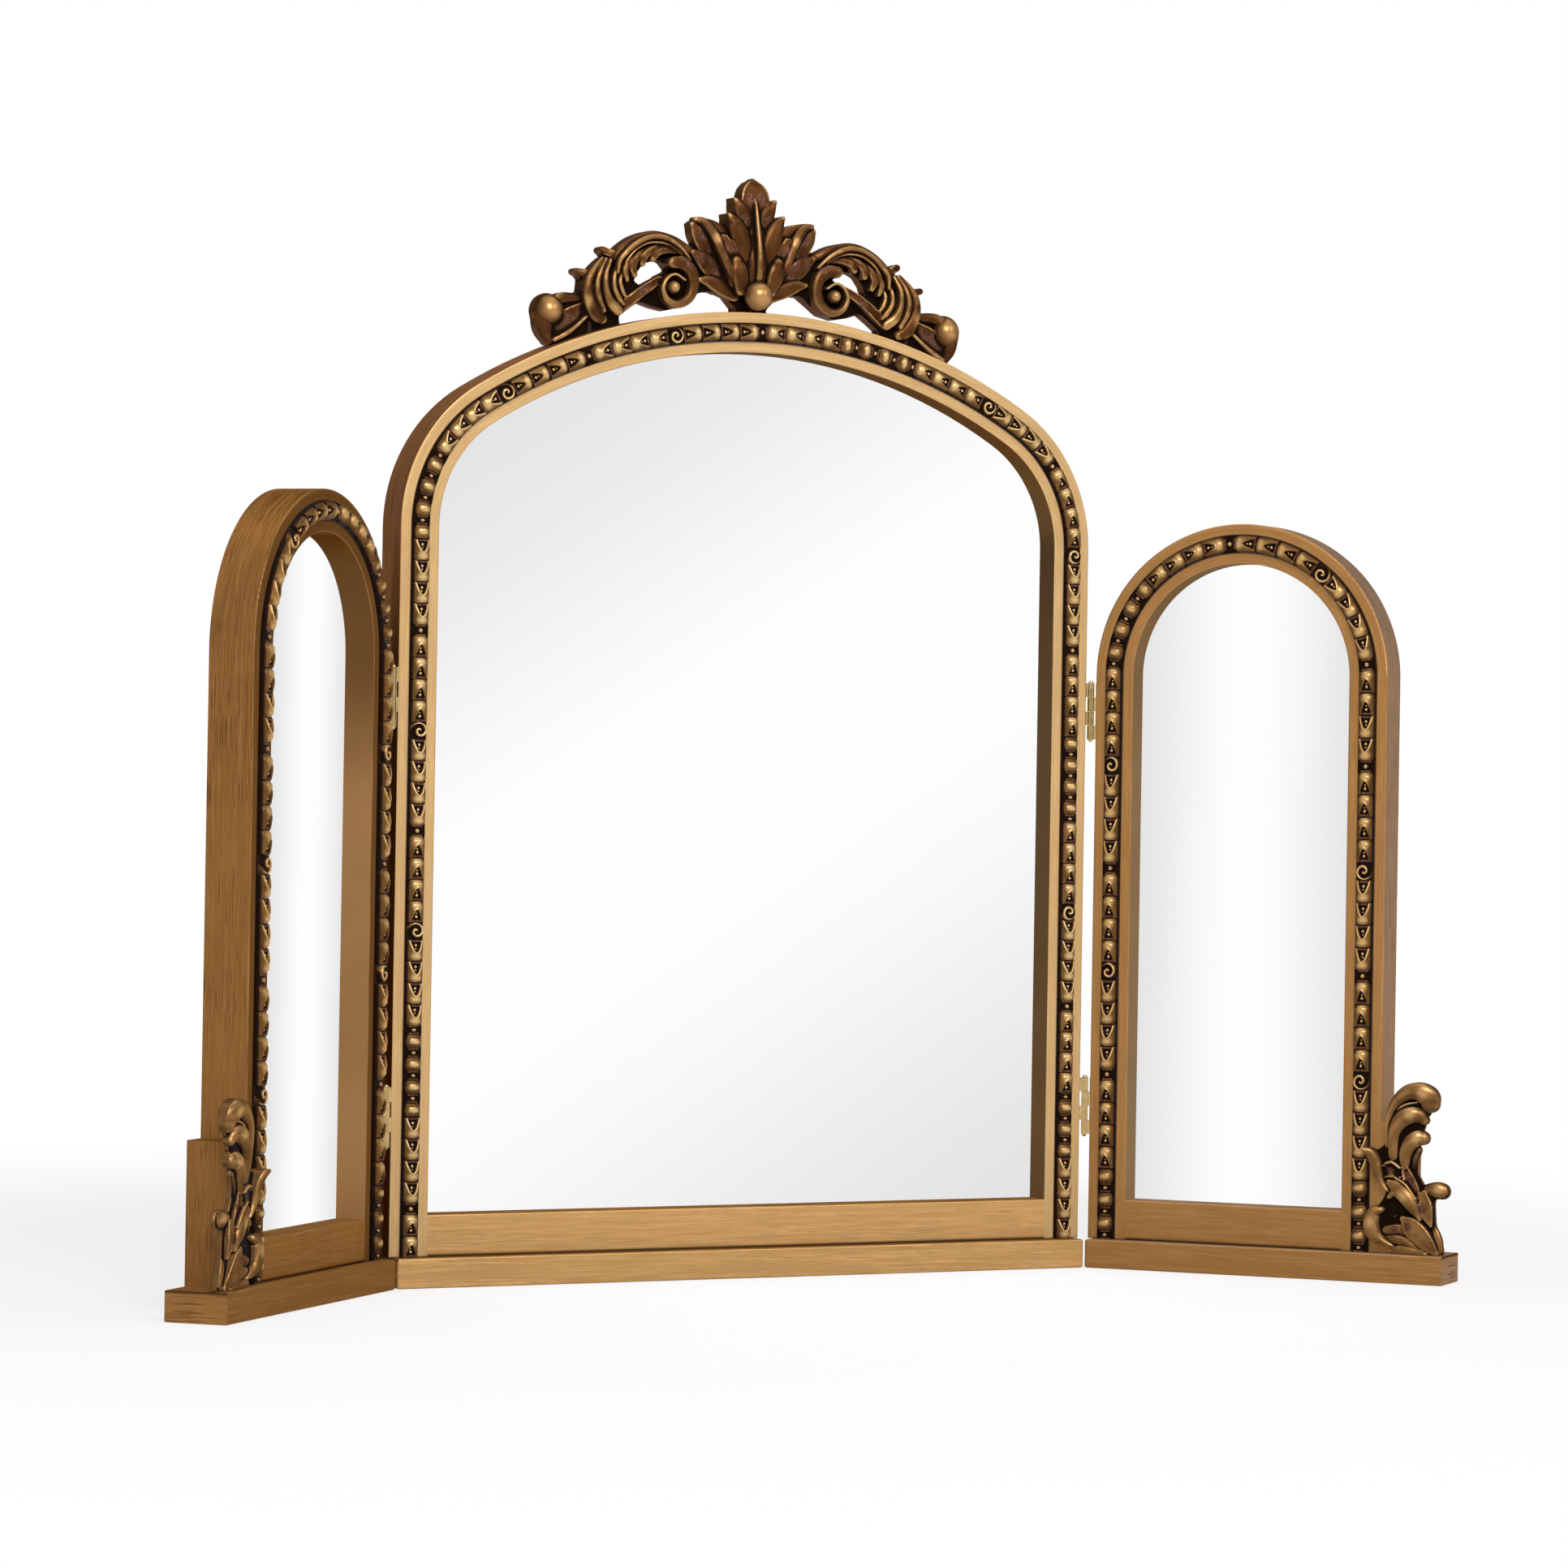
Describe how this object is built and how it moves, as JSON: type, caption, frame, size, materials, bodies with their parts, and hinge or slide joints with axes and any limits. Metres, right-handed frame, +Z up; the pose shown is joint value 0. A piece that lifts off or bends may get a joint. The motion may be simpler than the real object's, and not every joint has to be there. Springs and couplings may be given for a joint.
{
  "type": "triple dressing table mirror",
  "caption": "Gilt triple dressing table mirror: arched centre panel with a carved leaf crest, and two arched wings on brass hinges, on flat plinths.",
  "frame": {"origin": "the middle of the centre plinth's underside, on the table", "axes": "+X to the viewer's right along the centre panel, -Y the way the centre mirror faces, +Z up"},
  "size_m": [0.9013, 0.2311, 0.7205],
  "materials": {
    "gilt_frame": "wood with brushed antique gold leaf, worn brown at the edges",
    "gilt_carving": "burnished gold with dark glaze in the recesses",
    "mirror_glass": "silvered glass",
    "back_board": "plain hardboard",
    "beech": "plain beech dowel",
    "brass": "polished brass",
    "steel": "bright zinc"
  },
  "bodies": {
    "centre": {"centre_arched_head": "gilt_frame", "centre_back_board": "back_board", "centre_back_board_screws": "steel", "centre_bead_moulding": "gilt_carving", "centre_bottom_rail": "gilt_frame", "centre_crest": "gilt_carving", "centre_crest_pins": "steel", "centre_frame_dowels": "beech", "centre_hinge_screws": "brass", "centre_left_stile": "gilt_frame", "centre_mirror": "mirror_glass", "centre_plinth": "gilt_frame", "centre_plinth_screws": "steel", "centre_right_stile": "gilt_frame", "left_lower_hinge_centre_leaf": "brass", "left_lower_hinge_pin": "brass", "left_upper_hinge_centre_leaf": "brass", "left_upper_hinge_pin": "brass", "right_lower_hinge_centre_leaf": "brass", "right_lower_hinge_pin": "brass", "right_upper_hinge_centre_leaf": "brass", "right_upper_hinge_pin": "brass"},
    "left_wing": {"left_lower_hinge_wing_leaf": "brass", "left_upper_hinge_wing_leaf": "brass", "left_wing_arched_head": "gilt_frame", "left_wing_back_board": "back_board", "left_wing_back_board_screws": "steel", "left_wing_bead_moulding": "gilt_carving", "left_wing_bottom_rail": "gilt_frame", "left_wing_corner_ornament": "gilt_carving", "left_wing_frame_dowels": "beech", "left_wing_hinge_screws": "brass", "left_wing_inner_stile": "gilt_frame", "left_wing_mirror": "mirror_glass", "left_wing_ornament_brads": "steel", "left_wing_outer_stile": "gilt_frame", "left_wing_plinth": "gilt_frame", "left_wing_plinth_screws": "steel", "left_wing_side_block": "gilt_frame"},
    "right_wing": {"right_lower_hinge_wing_leaf": "brass", "right_upper_hinge_wing_leaf": "brass", "right_wing_arched_head": "gilt_frame", "right_wing_back_board": "back_board", "right_wing_back_board_screws": "steel", "right_wing_bead_moulding": "gilt_carving", "right_wing_bottom_rail": "gilt_frame", "right_wing_corner_ornament": "gilt_carving", "right_wing_frame_dowels": "beech", "right_wing_hinge_screws": "brass", "right_wing_inner_stile": "gilt_frame", "right_wing_mirror": "mirror_glass", "right_wing_ornament_brads": "steel", "right_wing_outer_stile": "gilt_frame", "right_wing_plinth": "gilt_frame", "right_wing_plinth_screws": "steel", "right_wing_side_block": "gilt_frame"}
  },
  "joints": [
    {"name": "left_wing_hinge", "type": "hinge", "parent": "centre", "child": "left_wing", "pos_m": [-0.255, -0.0095, 0.241], "axis": [0, 0, 1], "range_deg": [-53.5, 8.5]},
    {"name": "right_wing_hinge", "type": "hinge", "parent": "centre", "child": "right_wing", "pos_m": [0.255, -0.0095, 0.241], "axis": [0, 0, -1], "range_deg": [-59.5, 2.5]}
  ]
}
